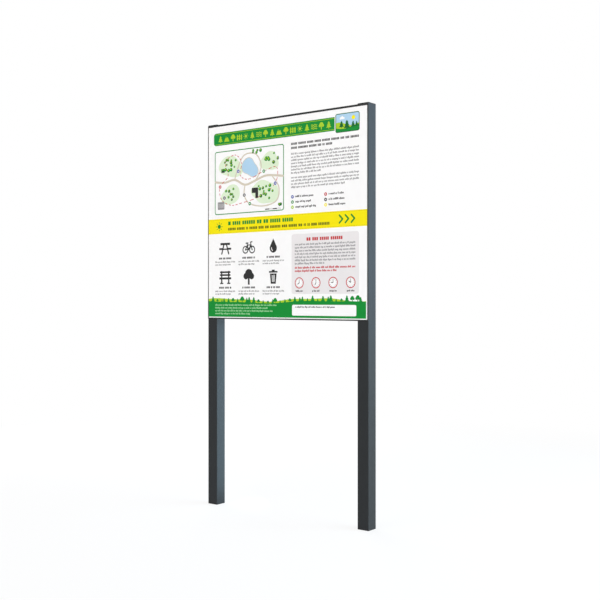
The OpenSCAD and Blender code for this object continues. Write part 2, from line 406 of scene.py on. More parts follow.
def new_piece(name, bm, materials):
    """Makes a piece of a bmesh, and sets it on the board's one body."""
    piece = mesh_object(name, bm, materials)
    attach(piece, BODY)
    return piece


def join_rings(bm, rings, closed):
    """Skins rings of as many points each. If closed, the first and last rings are filled."""
    rows = [[bm.verts.new(point) for point in ring] for ring in rings]
    count = len(rows[0])
    for row, after in zip(rows, rows[1:]):
        for i in range(count):
            j = (i + 1) % count
            bm.faces.new((row[i], row[j], after[j], after[i]))
    if closed:
        bm.faces.new(list(reversed(rows[0])))
        bm.faces.new(rows[-1])


def angles(count):
    """The angles of even steps round a circle."""
    return [i * tau / count for i in range(count)]


def polar(u, v, radius, angle):
    """The point at a radius and an angle from u, v."""
    return u + radius * cos(angle), v + radius * sin(angle)


# The printed face

def rounded_outline(left, bottom, right, top, corner):
    """A box with round corners, from the lower right corner upwards and round."""
    return [
        polar(u, v, corner, radians(start + turn))
        for u, v, start in (
            (right - corner, bottom + corner, -90), (right - corner, top - corner, 0),
            (left + corner, top - corner, 90), (left + corner, bottom + corner, 180),
        )
        for turn in range(0, 91, 15)
    ]


class Page:
    """Flat areas of ink, in millimetres from the film's lower left corner. Later ones lie on top."""

    # Shares of a word's height: the gap to the next word, a block with its gap, and that gap
    WORD_GAP, BLOCK_PITCH, BLOCK_GAP = 0.55, 0.78, 0.17
    # How many blocks of small print rise or drop, and by what share of their height
    RISING, RISE = 0.26, 0.42
    DROPPING, DROP = 0.10, 0.38
    CAPTION_HEIGHT = 7.5

    def __init__(self, settings):
        low, high = FILM_LOW / MM, FILM_HIGH / MM
        self.width = high.x - low.x
        self.height = high.z - low.z
        self.line_pitch = settings.line_pitch / MM
        self.line_height = settings.line_height / MM
        self.dice = random.Random(settings.seed)
        self.areas = []
        self.box(0, 0, self.width, self.height, "ground")

    def area(self, points, ink):
        """One patch of ink, cut off at the film's edges, and turned anticlockwise."""
        inside = [(min(max(u, 0.0), self.width), min(max(v, 0.0), self.height)) for u, v in points]
        turns = zip(inside, inside[1:] + inside[:1])
        if sum(u0 * v1 - u1 * v0 for (u0, v0), (u1, v1) in turns) < 0:
            inside.reverse()
        self.areas.append((inside, ink))

    def box(self, left, bottom, right, top, ink, corner=0.0):
        if corner:
            self.area(rounded_outline(left, bottom, right, top, corner), ink)
        else:
            self.area([(left, bottom), (right, bottom), (right, top), (left, top)], ink)

    def disc(self, u, v, radius, ink):
        sides = max(12, min(64, int(radius * 1.6)))
        self.area([polar(u, v, radius, angle) for angle in angles(sides)], ink)

    def ring(self, u, v, outer, inner, ink):
        self.disc(u, v, outer, ink)
        self.disc(u, v, inner, "ground")

    def line(self, points, width, ink):
        """A line of even width with round joints and ends."""
        for (u0, v0), (u1, v1) in zip(points, points[1:]):
            run = hypot(u1 - u0, v1 - v0)
            if run < 1e-6:
                continue
            du = -(v1 - v0) / run * width / 2
            dv = (u1 - u0) / run * width / 2
            self.area(
                [(u0 - du, v0 - dv), (u1 - du, v1 - dv), (u1 + du, v1 + dv), (u0 + du, v0 + dv)],
                ink)
        for u, v in points:
            self.disc(u, v, width / 2, ink)

    def word_lengths(self, span, height):
        """Lengths of the words that fill a line, and the gap between two of them."""
        gap = height * self.WORD_GAP
        runs = []
        while sum(runs) + gap * len(runs) < span:
            runs.append(height * self.dice.choice((1.3, 2.1, 2.9, 3.6, 4.4, 5.6)))
        scale = (span - gap * (len(runs) - 1)) / sum(runs)
        return [run * scale for run in runs], gap

    def words(self, left, right, v, height, ink, fill=1.0, centred=False, capitals=False):
        """One line of print. Each word is a row of blocks, and in small print some rise or drop."""
        span = (right - left) * fill
        runs, gap = self.word_lengths(span, height)
        u = left + (right - left - span) / 2 if centred else left
        for run in runs:
            count = max(1, round(run / (height * self.BLOCK_PITCH)))
            pitch = run / count
            for i in range(count):
                low, high = v, v + height
                luck = 1.0 if capitals else self.dice.random()
                if luck < self.RISING:
                    high += height * self.RISE
                elif luck < self.RISING + self.DROPPING:
                    low -= height * self.DROP
                end = u + (i + 1) * pitch - height * self.BLOCK_GAP
                self.box(u + i * pitch, low, end, high, ink)
            u += run + gap

    def headline(self, left, right, v, height, ink, fill=1.0, centred=False):
        """One line of bold capitals."""
        self.words(left, right, v, height, ink, fill, centred, capitals=True)

    def paragraph(self, left, right, top, lines, ink, last, bolder=0):
        """Lines of small print. The last one is shorter, and bolder adds to their height."""
        height = self.line_height + bolder
        for i in range(lines):
            fill = last if i == lines - 1 else 1.0
            self.words(left, right, top - i * self.line_pitch - height, height, ink, fill)
        return top - lines * self.line_pitch

    def motif(self, name, u, v, size, ink, ground="ground"):
        """A small picture from MOTIFS, with its lower left corner at u, v."""
        share = size / 100
        for kind, radius_or_width, *points in MOTIFS[name]:
            shade = ground if kind.startswith("cut") else ink
            placed = [(u + x * share, v + y * share) for x, y in points]
            if kind.endswith("disc"):
                self.disc(*placed[0], radius_or_width * share, shade)
            elif kind.endswith("box"):
                self.box(*placed[0], *placed[1], shade)
            elif kind.endswith("line"):
                self.line(placed, radius_or_width * share, shade)
            else:
                self.area(placed, shade)


# Pictures in a square of 100 by 100. Each form has its kind, a disc's radius or a line's width,
# and its points: a disc's centre, two corners of a box, or an outline. A cut form shows ground
MOTIFS = {
    "bench": [
        ("box", 0, (6, 57), (94, 68)), ("box", 0, (6, 75), (94, 86)),
        ("box", 0, (0, 35), (100, 48)),
        ("box", 0, (15, 6), (26, 88)), ("box", 0, (74, 6), (85, 88)),
        ("box", 0, (7, 6), (34, 14)), ("box", 0, (66, 6), (93, 14)),
    ],
    "picnic_table": [
        ("box", 0, (10, 67), (90, 81)), ("box", 0, (0, 37), (29, 49)),
        ("box", 0, (71, 37), (100, 49)), ("box", 0, (8, 37), (92, 45)),
        ("line", 10, (39, 70), (21, 12)), ("line", 10, (61, 70), (79, 12)),
    ],
    "bicycle": [
        ("disc", 24, (23, 32)), ("cut disc", 16.5, (23, 32)),
        ("disc", 24, (77, 32)), ("cut disc", 16.5, (77, 32)),
        ("disc", 5, (23, 32)), ("disc", 5, (77, 32)),
        ("line", 7, (23, 32), (39, 61), (67, 61), (48, 32), (23, 32)),
        ("line", 7, (48, 32), (36, 72)),
        ("line", 7, (77, 32), (64, 78), (76, 80)),
        ("line", 8, (28, 73), (44, 73)),
    ],
    "drop": [
        ("area", 0, (50, 94), *[polar(50, 36, 28, radians(a)) for a in range(28, -209, -14)]),
        ("cut line", 5, (36, 38), (38, 28), (45, 21)),
    ],
    "conifer": [
        ("area", 0, (50, 98), (30, 68), (39, 68), (20, 42), (31, 42), (10, 14),
         (90, 14), (69, 42), (80, 42), (61, 68), (70, 68)),
        ("box", 0, (45, 0), (55, 16)),
    ],
    "round_tree": [
        ("disc", 30, (50, 67)), ("disc", 20, (27, 53)), ("disc", 20, (73, 53)),
        ("box", 0, (43, 0), (57, 44)),
    ],
    "bin": [
        ("area", 0, (24, 66), (31, 4), (69, 4), (76, 66)),
        ("box", 0, (17, 71), (83, 81)), ("box", 0, (39, 81), (61, 89)),
        ("cut line", 4, (41, 56), (43, 17)), ("cut line", 4, (50, 56), (50, 17)),
        ("cut line", 4, (59, 56), (57, 17)),
    ],
    "peaks": [
        ("area", 0, (0, 6), (36, 84), (52, 52), (66, 72), (100, 6)),
        ("cut area", 0, (29, 63), (36, 76), (43, 62), (36, 56)),
    ],
    "fence": [
        *[("area", 0, (x - 9, 4), (x + 9, 4), (x + 9, 70), (x, 86), (x - 9, 70))
          for x in (13, 50, 87)],
        ("box", 0, (0, 24), (100, 33)), ("box", 0, (0, 54), (100, 63)),
    ],
    "sun": [
        ("disc", 21, (50, 48)),
        *[("line", 6.5, polar(50, 48, 31, a), polar(50, 48, 42, a)) for a in angles(8)],
    ],
    "waves": [
        ("line", 9, *[(4 + i * 7.66, base + 7 * sin(i * tau / 6)) for i in range(13)])
        for base in (24, 48, 72)
    ],
}


def smooth_path(points, closed=False, steps=8):
    """A smooth line through the points."""
    before, after = (points[-1:], points[:2]) if closed else (points[:1], points[-1:])
    padded = before + points + after
    found = []
    for around in zip(padded, padded[1:], padded[2:], padded[3:]):
        for step in range(steps):
            t = step / steps
            found.append(tuple(
                0.5 * (2 * b + (c - a) * t + (2 * a - 5 * b + 4 * c - d) * t * t
                       + (3 * b - a - 3 * c + d) * t ** 3)
                for a, b, c, d in zip(*around)
            ))
    found.append(points[0] if closed else points[-1])
    return found


def blot(u, v, wide, high, waves):
    """A round patch with a wavy outline."""
    points = []
    for angle in angles(40):
        swell = 1 + sum(size * cos(n * angle + n * 0.7) for n, size in waves)
        points.append((u + wide * swell * cos(angle), v + high * swell * sin(angle)))
    return points


def shares_of(left, bottom, right, top):
    """A function that gives the place at a share of the way across and up a box."""

    def at(x, y):
        return left + x * (right - left), bottom + y * (top - bottom)

    return at


def landscape(page, left, bottom, right, top):
    """A framed picture of conifers on two hills, with a sun and a cloud."""
    margin, edge, corner = 6, 5, 8
    page.box(left - margin, bottom - margin, right + margin, top + margin, "ground", 18)
    page.box(left, bottom, right, top, "deep_green", 13)
    left, bottom, right, top = left + edge, bottom + edge, right - edge, top - edge
    page.box(left, bottom, right, top, "pond", corner)
    high = top - bottom
    at = shares_of(left, bottom, right, top)
    page.disc(*at(0.76, 0.74), high * 0.12, "yellow")
    for x, y, size in ((0.2, 0.76, 0.07), (0.27, 0.79, 0.09), (0.34, 0.76, 0.06)):
        page.disc(*at(x, y), high * size, "ground")

    outline = rounded_outline(left, bottom, right, top, corner)
    low = [point for point in outline if point[1] < bottom + high / 2]
    half = len(low) // 2
    for ink, rise, swing, wave, shift in (
        ("lime", 0.42, 0.12, 5.2, 1.0), ("green", 0.24, 0.09, 4.2, 3.4),
    ):
        crest = [
            at(x, rise + swing * sin(wave * x + shift))
            for x in [1 - i / 32 for i in range(33)]
        ]
        page.area(low[:half] + crest + low[half:], ink)
    for x, y, size in ((0.1, 0.2, 0.44), (0.3, 0.1, 0.56), (0.62, 0.16, 0.4), (0.8, 0.2, 0.32)):
        page.motif("conifer", *at(x, y), size * high, "deep_green")


def header_band(page, height):
    """Green band with a frieze of small pictures, and a framed landscape at its right end."""
    top = page.height - 44
    bottom = top - height
    left, right = 48, page.width - 126
    page.box(left, bottom, right, top, "green", 20)
    for low, high in ((bottom + 7, bottom + 9.5), (top - 9.5, top - 7)):
        page.box(left + 14, low, right, high, "lime")
    names = ["conifer", "peaks", "round_tree", "fence", "sun", "conifer", "waves", "round_tree"]
    size = height * 0.56
    count = 17
    first, last = left + 36, right - 180
    for i in range(count):
        u = first + (last - first) * i / (count - 1)
        page.motif(names[i % len(names)], u, (top + bottom) / 2 - size / 2, size, "lime", "green")
    landscape(page, page.width - 232, bottom - 16, page.width - 54, top + 16)
    return bottom


def site_plan(page, left, bottom, right, top):
    """Plan of a park: lawns, a pond, paths, a red trail, and what plan_details adds."""
    page.box(left, bottom, right, top, "green", 16)
    page.box(left + 6, bottom + 6, right - 6, top - 6, "ground", 11)
    at = shares_of(left, bottom, right, top)
    wide, high = right - left, top - bottom
    for x, y, w, h, waves in (
        (0.24, 0.74, 0.17, 0.17, [(2, 0.12), (3, 0.08)]),
        (0.74, 0.3, 0.19, 0.18, [(2, 0.1), (5, 0.05)]),
        (0.8, 0.76, 0.13, 0.14, [(3, 0.12)]),
        (0.24, 0.3, 0.14, 0.15, [(2, -0.12), (3, 0.06)]),
    ):
        page.area(blot(*at(x, y), w * wide, h * high, waves), "meadow")
    for grow, ink in ((1.07, "sand"), (1.0, "pond")):
        water = blot(*at(0.52, 0.7), 0.105 * wide * grow, 0.14 * high * grow, [(2, 0.2), (3, 0.1)])
        page.area(water, ink)
    for width, stops in (
        (9, [(0.3, 0.53), (0.35, 0.72), (0.44, 0.9), (0.6, 0.9), (0.68, 0.74), (0.66, 0.6),
             (0.6, 0.49)]),
        (9, [(0.45, 0.44), (0.44, 0.28), (0.52, 0.14), (0.72, 0.09), (0.9, 0.16), (0.93, 0.36),
             (0.84, 0.53)]),
        (14, [(0.012, 0.52), (0.15, 0.5), (0.3, 0.53), (0.45, 0.44), (0.6, 0.49), (0.76, 0.55),
              (0.988, 0.52)]),
    ):
        page.line(smooth_path([at(x, y) for x, y in stops]), width, "sand")
    stops = [
        (0.08, 0.44), (0.2, 0.6), (0.16, 0.82), (0.3, 0.92), (0.4, 0.8), (0.38, 0.6), (0.5, 0.52),
        (0.72, 0.62), (0.9, 0.66), (0.88, 0.42), (0.66, 0.24), (0.4, 0.16), (0.24, 0.14), (0.1, 0.24),
    ]
    trail = smooth_path([at(x, y) for x, y in stops], closed=True, steps=6)
    for i in range(0, len(trail) - 1, 2):
        page.line(trail[i:i + 2], 4.5, "red")
    plan_details(page, at)


def plan_details(page, at):
    """The plan's car park, houses, treetops with a light spot each, markers and scale bar."""
    page.box(*at(0.045, 0.08), *at(0.145, 0.2), "grey", 4)
    for i in range(5):
        u, v = at(0.062 + i * 0.0165, 0.11)
        page.box(u, v, u + 1.8, at(0, 0.17)[1], "ground")
    for low, high in (
        ((0.55, 0.3), (0.64, 0.38)), ((0.6, 0.22), (0.64, 0.31)), ((0.1, 0.66), (0.15, 0.72)),
    ):
        page.box(*at(*low), *at(*high), "charcoal")

    tree_seed = 5
    dice = random.Random(tree_seed)
    for x, y, spread_x, spread_y, count in (
        (0.22, 0.76, 0.1, 0.1, 13), (0.75, 0.3, 0.11, 0.11, 13), (0.83, 0.8, 0.09, 0.08, 9),
        (0.24, 0.31, 0.09, 0.09, 8), (0.6, 0.94, 0.1, 0.02, 5), (0.93, 0.1, 0.03, 0.04, 3),
    ):
        for _ in range(count):
            u, v = at(x + dice.uniform(-1, 1) * spread_x, y + dice.uniform(-1, 1) * spread_y)
            radius = dice.uniform(7, 12)
            ink = dice.choice(("green", "green", "deep_green"))
            page.disc(u, v, radius, ink)
            page.disc(u - radius * 0.25, v + radius * 0.25, radius * 0.42, "lime")
    for x, y, ink in (
        (0.08, 0.44, "red"), (0.35, 0.66, "blue"), (0.72, 0.62, "green"), (0.44, 0.28, "charcoal"),
        (0.88, 0.42, "blue"), (0.52, 0.14, "green"), (0.145, 0.26, "charcoal"),
    ):
        page.disc(*at(x, y), 14, "ground")
        page.ring(*at(x, y), 11.5, 4.5, ink)

    u, v = at(0.74, 0.028)
    field, height, edge = 32, 7, 1.2
    for i in range(4):
        low, high = u + i * field, u + i * field + field
        page.box(low, v, high, v + height, "black")
        ink = "ground" if i % 2 else "black"
        page.box(low + edge, v + edge, high - edge, v + height - edge, ink)


def welcome_text(page, left, bottom, right, top):
    """Bold lines, two paragraphs, and a key to the plan's markers."""
    page.headline(left, right, top - 15, 14, "charcoal")
    page.headline(left, right, top - 41, 14, "charcoal", 0.62)
    after = page.paragraph(left, right, top - 68, 7, "grey", 0.45)
    page.paragraph(left, right, after - 10, 4, "grey", 0.8)
    half = (right - left) / 2
    for i, ink in enumerate(("blue", "red", "green", "charcoal", "lime", "yellow")):
        u = left + (i % 2) * half
        v = bottom + (2 - i // 2) * 33 + 13
        page.ring(u + 11, v, 11, 4.2, ink)
        fill = page.dice.uniform(0.55, 0.9)
        page.words(u + 34, u + half - 26, v - 4.5, 9, "charcoal", fill)


def notice_band(page, height, bottom):
    """Yellow band across the whole film: a sun, two lines of words, and three chevrons."""
    page.box(0, bottom, page.width, bottom + height, "yellow")
    pitch, dash, thick = 12, 6, 1.5
    for v in (bottom + 5, bottom + height - 5 - thick):
        for i in range(int(page.width / pitch)):
            u = i * pitch + dash / 2
            page.box(u, v, u + dash, v + thick, "olive")
    page.motif("sun", 62, bottom + height / 2 - 34, 68, "green", "yellow")
    left, right = 176, 1010
    page.headline(left, right, bottom + height * 0.55, 24, "green", 0.66)
    page.headline(left, right, bottom + height * 0.2, 17, "olive")
    reach = 23
    for i in range(3):
        u, v = 1082 + i * 44, bottom + height / 2
        page.line([(u, v - reach), (u + reach, v), (u, v + reach)], 11, "green")


def amenity_icons(page, left, bottom, right, top):
    """Two rows of three dark icons, with a caption and small print under each."""
    names = ["picnic_table", "bicycle", "drop", "bench", "round_tree", "bin"]
    column, row = (right - left) / 3, (top - bottom) / 2
    size, reach = 106, column * 0.43
    for i, name in enumerate(names):
        centre = left + (i % 3 + 0.5) * column
        floor = bottom + (1 - i // 3) * row
        start, end = centre - reach, centre + reach
        page.motif(name, centre - size / 2, floor + 68, size, "charcoal")
        page.headline(start, end, floor + 44, 12, "charcoal", 0.62, centred=True)
        page.words(start, end, floor + 22, page.CAPTION_HEIGHT, "grey")
        page.words(start, end, floor + 4, page.CAPTION_HEIGHT, "grey", 0.78)


def dial(page, u, v, radius, hour, ink):
    """A clock face with hour marks and two hands, the long one straight up."""
    page.ring(u, v, radius, radius - 6, ink)

    def hand(turn, start, end, width):
        across, up = sin(turn * tau), cos(turn * tau)
        ends = [(u + across * start, v + up * start), (u + across * end, v + up * end)]
        page.line(ends, width, "charcoal")

    for mark in range(12):
        hand(mark / 12, radius * 0.66, radius * 0.72, 2.4)
    hand(0.0, 0.0, radius * 0.58, 3.4)
    hand(hour / 12, 0.0, radius * 0.4, 4.6)


def opening_times(page, left, bottom, right, top):
    """Pale box with a red heading, small print, and a row of dials with a caption each."""
    page.box(left, bottom, right, top, "pale_grey", 16)
    left, right = left + 26, right - 26
    page.headline(left, right, top - 44, 20, "red", 0.6, centred=True)
    after = page.paragraph(left, right, top - 62, 7, "grey", 0.5)
    page.paragraph(left, right, after - 6, 2, "red", 0.7, bolder=1)
    radius = 35
    hours = (8, 7, 9, 10)
    for i, hour in enumerate(hours):
        u = left + radius + i * (right - left - 2 * radius) / (len(hours) - 1)
        dial(page, u, bottom + 34 + radius, radius, hour, "red")
        start, end = u - radius, u + radius
        page.words(start, end, bottom + 14, page.CAPTION_HEIGHT, "charcoal", 0.8, centred=True)


def hill_footer(page, height):
    """Green hills with trees, a white box for a local note, and pale small print."""
    right, bottom = page.width - 7, 6
    parts = 64

    def hill(base, swing, wave, shift, ink):
        crest = []
        for i in range(parts + 1):
            u = right * i / parts
            crest.append((u, base + swing * sin(u / wave + shift)
                          + swing * 0.4 * sin(u / wave * 2.3 + shift * 1.7)))
        page.area([(0, bottom), (right, bottom)] + crest[::-1], ink)
        return crest

    hill(height + 8, 9, 120, 0.4, "lime")
    crest = hill(height - 6, 7, 170, 2.1, "green")
    for i in range(34):
        u, v = crest[min(parts, max(0, round(2 + i * 1.83)))]
        name = page.dice.choice(("conifer", "conifer", "round_tree"))
        size = page.dice.uniform(22, 46)
        page.motif(name, u - size / 2, v - 6, size, "green")
    page.box(716, 20, 1206, 88, "ground", 9)
    page.words(740, 1180, 70, 7, "charcoal", 0.7)
    for i, fill in enumerate((1.0, 0.86, 0.94, 0.58)):
        page.words(60, 590, 80 - i * 19, 8, "mint", fill)


def draw_print(settings):
    """The whole face, laid out from the top down."""
    page = Page(settings)
    top = header_band(page, settings.header_height / MM) - 40
    right = page.width - 58
    site_plan(page, left=56, bottom=688, right=650, top=top)
    welcome_text(page, left=708, bottom=690, right=right, top=top)
    notice_band(page, settings.notice_height / MM, bottom=560)
    amenity_icons(page, left=46, bottom=150, right=666, top=540)
    opening_times(page, left=712, bottom=156, right=right, top=532)
    hill_footer(page, settings.footer_height / MM)
    return page


def print_mesh(page, inks):
    """Cuts the film's face along every outline, so that each ink is its own part of one skin.
    The ink that was laid last shows. The film's edge and back have the first ink."""
    points, faces = [], []
    for outline, _ in page.areas:
        start = len(points)
        points.extend(Vector(point) for point in outline)
        faces.append(list(range(start, start + len(outline))))
    inside_only, merge_mm = 1, 1e-4
    found, _, triangles, _, _, origins = delaunay_2d_cdt(
        points, [], faces, inside_only, merge_mm, True)
    bm = bmesh.new()
    front = [bm.verts.new((FILM_LOW.x + p.x * MM, FILM_LOW.y, FILM_LOW.z + p.y * MM)) for p in found]
    for triangle, under in zip(triangles, origins):
        face = bm.faces.new([front[i] for i in triangle])
        face.material_index = inks.index(page.areas[max(under)][1])
    rim = [edge for edge in bm.edges if edge.is_boundary]
    back = {v: bm.verts.new((v.co.x, FILM_HIGH.y, v.co.z)) for v in front if v.is_boundary}
    for start, end in [edge.verts for edge in rim]:
        bm.faces.new((start, end, back[end], back[start]))
    bmesh.ops.holes_fill(bm, edges=[edge for edge in bm.edges if edge.is_boundary])
    return bm


class BOARD_OT_print_panel(bpy.types.Operator):
    """Draw the printed and laminated film on the face of the sheet"""

    bl_idname = "board.print_panel"
    bl_label = "Print Panel"

    def execute(self, context):
        settings = context.scene.board_print
        page = draw_print(settings)
        inks = ["ground"] + sorted({ink for _, ink in page.areas} - {"ground"})
        materials = [
            laminated_ink("ink_" + ink, getattr(settings, ink), settings.peel) for ink in inks
        ]
        bm = print_mesh(page, inks)
        if any(not edge.is_manifold for edge in bm.edges):
            raise RuntimeError("the printed film isn't one closed skin")
        piece = new_piece("print_panel", bm, materials)
        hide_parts("print_film")
        return {"FINISHED"}


# Coats and metals

class BOARD_OT_posts_and_rails(bpy.types.Operator):
    """Give the posts, the rails and their end plates their powder coat"""

    bl_idname = "board.posts_and_rails"
    bl_label = "Posts and Rails"

    def execute(self, context):
        coats = context.scene.board_coats
        posts = powder_coat("post_powder_coat", coats.posts, coats.grain, corners=True)
        dress(["post_" + side for side in SIDES], posts)
        rails = powder_coat("rail_powder_coat", shaded(coats.posts, 1.1), coats.grain)
        dress(["rail_" + rail for rail in RAILS], rails)
        dress([f"end_plate_{rail}_{side}" for rail in RAILS for side in SIDES], rails)
        return {"FINISHED"}


class BOARD_OT_sign_sheet(bpy.types.Operator):
    """Give the aluminium sheet its coat"""

    bl_idname = "board.sign_sheet"
    bl_label = "Sign Sheet"

    def execute(self, context):
        coats = context.scene.board_coats
        dress(["sign_sheet"], powder_coat("sheet_coat", coats.sheet, coats.grain * 0.5))
        return {"FINISHED"}


class BOARD_OT_post_caps(bpy.types.Operator):
    """Give the moulded post caps their grained plastic"""

    bl_idname = "board.post_caps"
    bl_label = "Post Caps"

    def execute(self, context):
        plastic = moulded_plastic("cap_plastic", context.scene.board_coats.caps, 0.04 * MM)
        dress(["post_cap_" + side for side in SIDES], plastic)
        return {"FINISHED"}


class BOARD_OT_fastener_metals(bpy.types.Operator):
    """Give the bolts, washers, nuts and rivet nuts their bare metals"""

    bl_idname = "board.fastener_metals"
    bl_label = "Fastener Metals"

    def execute(self, context):
        coats = context.scene.board_coats
        across = turned_metal("bolt_steel", coats.stainless, 0.26, (1.0, 0.2, 0.2))
        dress(["rail_bolts", "rail_bolt_washers"], across)
        along = turned_metal("nut_steel", coats.stainless, 0.28, (0.2, 1.0, 0.2))
        dress(["stud_nuts", "stud_washers"], along)
        dress(["rivet_nuts"], turned_metal("zinc_plate", coats.zinc, 0.32, (1.0, 1.0, 1.0)))
        return {"FINISHED"}


# Fine parts

def bead_path(rail_low, rail_high, up):
    """Points on a rail's outside, from its top or bottom face round the bend onto its lip,
    each with the direction out of the steel. Starts near the sheet."""
    middle_z = (rail_low.z + rail_high.z) / 2
    half = (rail_high.z - rail_low.z) / 2
    corner_y, corner_z = rail_high.y - RAIL_BEND, half - RAIL_BEND
    step = 0.4 * MM
    start = rail_low.y + 6 * MM
    on_lip = 6.5 * MM
    path = []

    def put(y, z, out_y, out_z):
        path.append((Vector((0.0, y, middle_z + up * z)), Vector((0.0, out_y, up * out_z))))

    for i in range(int((corner_y - start) / step)):
        put(start + i * step, half, 0.0, 1.0)
    turns = int(RAIL_BEND * pi / 2 / step)
    for i in range(turns):
        angle = pi / 2 * i / turns
        out_y, out_z = sin(angle), cos(angle)
        put(corner_y + RAIL_BEND * out_y, corner_z + RAIL_BEND * out_z, out_y, out_z)
    for i in range(int(on_lip / step)):
        put(rail_high.y, corner_z - i * step, 1.0, 0.0)
    return path


def weld_bead(bm, end_x, inward, path, leg, ripple):
    """Sweeps a rippled fillet along the path, in the corner between the rail and its end plate.
    It thins out at both ends, and its back lies hidden in the steel."""
    hidden = 0.25 * MM
    thinning, end_share = 2 * MM, 0.12
    sides, bulge = 6, 0.65
    along = Vector((inward, 0.0, 0.0))
    rings = []
    run = 0.0
    total = sum((b[0] - a[0]).length for a, b in zip(path, path[1:]))
    for i, (point, out) in enumerate(path):
        if i:
            run += (point - path[i - 1][0]).length
        grown = min(run, total - run) / thinning
        taper = sqrt(min(1.0, end_share + (1 - end_share) * grown))
        wave = abs(sin(pi * run / ripple))
        size = leg * taper * (0.9 + 0.13 * wave)
        corner = Vector((end_x, point.y, point.z))
        ring = [corner - out * hidden - along * hidden, corner + along * size - out * hidden]
        for k in range(sides + 1):
            angle = pi / 2 * k / sides
            radius = size / (sin(angle) + cos(angle)) ** bulge
            ring.append(corner + along * radius * cos(angle) + out * radius * sin(angle))
        ring.append(corner - along * hidden + out * size)
        rings.append(ring)
    join_rings(bm, rings, closed=True)


class BOARD_OT_weld_beads(bpy.types.Operator):
    """Lay the weld beads between the rails and their end plates"""

    bl_idname = "board.weld_beads"
    bl_label = "Weld Beads"

    def execute(self, context):
        fixings, coats = context.scene.board_fixings, context.scene.board_coats
        bm = bmesh.new()
        for low, high in RAIL_BOXES:
            for end_x, inward in ((low.x, 1.0), (high.x, -1.0)):
                for up in (1.0, -1.0):
                    path = bead_path(low, high, up)
                    weld_bead(bm, end_x, inward, path, fixings.bead_leg, fixings.bead_ripple)
        for face in bm.faces:
            face.smooth = len(face.verts) == 4
        coat = powder_coat("weld_powder_coat", shaded(coats.posts, 1.15), coats.grain)
        new_piece("weld_beads", bm, [coat])
        return {"FINISHED"}


def stud_centres():
    """Where the studs stand: evenly along the box of them all, in the middle of each rail."""
    low, high = STUDS_LOW.x + STUD_FOOT_RADIUS, STUDS_HIGH.x - STUD_FOOT_RADIUS
    across = [low + (high - low) * i / (STUDS_PER_RAIL - 1) for i in range(STUDS_PER_RAIL)]
    heights = [(rail_low.z + rail_high.z) / 2 for rail_low, rail_high in RAIL_BOXES]
    return [(x, z) for x in across for z in heights]


def threaded_stud(bm, x, z, pitch, depth):
    """A round stud on its welded foot, with a thread that winds up to its chamfered tip."""
    foot_y, tip_y = STUDS_LOW.y, STUDS_HIGH.y
    sides, rows = 24, 8
    root_share, flank_share = 0.12, 0.74
    thread_start = foot_y + 8.0 * MM
    plain = STUD_RADIUS - depth * 0.5

    def ring(y, radius):
        """A ring of one radius, or of a radius that changes round it."""
        found = []
        for i, angle in enumerate(angles(sides)):
            r = radius(i / sides) if callable(radius) else radius
            found.append((x + r * cos(angle), y, z + r * sin(angle)))
        return found

    rings = [
        ring(foot_y, STUD_FOOT_RADIUS), ring(foot_y + 0.7 * MM, STUD_FOOT_RADIUS),
        ring(foot_y + 1.0 * MM, 3.45 * MM), ring(foot_y + 1.05 * MM, plain),
        ring(thread_start - 0.3 * MM, plain),
    ]
    for k in range(int((tip_y - 0.7 * MM - thread_start) / pitch * rows) + 1):
        grow = min(1.0, k / rows)

        def thread(turn, k=k, grow=grow):
            """Radius at a share of the turn. Over the first pitch the groove grows deeper."""
            rise = abs(2 * ((k / rows - turn) % 1.0) - 1)
            flank = min(1.0, max(0.0, (rise - root_share) / flank_share))
            return STUD_RADIUS - depth * (1 - flank) * grow - depth * 0.5 * (1 - grow)

        rings.append(ring(thread_start + k * pitch / rows, thread))
    rings.append(ring(tip_y - 0.45 * MM, STUD_RADIUS - depth))
    rings.append(ring(tip_y, 2.1 * MM))
    join_rings(bm, rings, closed=True)


class BOARD_OT_threaded_studs(bpy.types.Operator):
    """Cut the thread on the studs behind the sheet"""

    bl_idname = "board.threaded_studs"
    bl_label = "Threaded Studs"

    def execute(self, context):
        fixings, coats = context.scene.board_fixings, context.scene.board_coats
        bm = bmesh.new()
        for x, z in stud_centres():
            threaded_stud(bm, x, z, fixings.thread_pitch, fixings.thread_depth)
        metal = turned_metal("stud_steel", coats.stainless, 0.3, (0.2, 1.0, 0.2))
        piece = new_piece("threaded_studs", bm, [metal])
        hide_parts("weld_studs")
        return {"FINISHED"}


def nylon_ring(bm, x, z, face_y, proud):
    """A ring in the nut's collar. Its section has radii in millimetres and heights from the
    nut's end face: millimetres inside the nut, and shares of proud outside it."""
    section = [
        (2.95, -0.8), (3.85, -0.8), (3.85, 0.02), (3.7, 0.75), (3.4, 1.0), (3.15, 0.8), (2.95, 0.2),
    ]
    turns = angles(32)
    rings = [
        [(x + r * MM * cos(angle), face_y + (h * proud if h > 0 else h * MM),
          z + r * MM * sin(angle))
         for r, h in section]
        for angle in turns + turns[:1]
    ]
    join_rings(bm, rings, closed=False)


class BOARD_OT_nylon_rings(bpy.types.Operator):
    """Set the nylon ring in the collar of each locking nut"""

    bl_idname = "board.nylon_rings"
    bl_label = "Nylon Rings"

    def execute(self, context):
        fixings, coats = context.scene.board_fixings, context.scene.board_coats
        face_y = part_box("stud_nuts")[1].y
        bm = bmesh.new()
        for x, z in stud_centres():
            nylon_ring(bm, x, z, face_y, fixings.ring_proud)
        bmesh.ops.remove_doubles(bm, verts=bm.verts, dist=1e-6)
        for face in bm.faces:
            face.smooth = True
        nylon = moulded_plastic("nylon", coats.nylon, 0.01 * MM)
        new_piece("nylon_rings", bm, [nylon])
        return {"FINISHED"}


# Studio

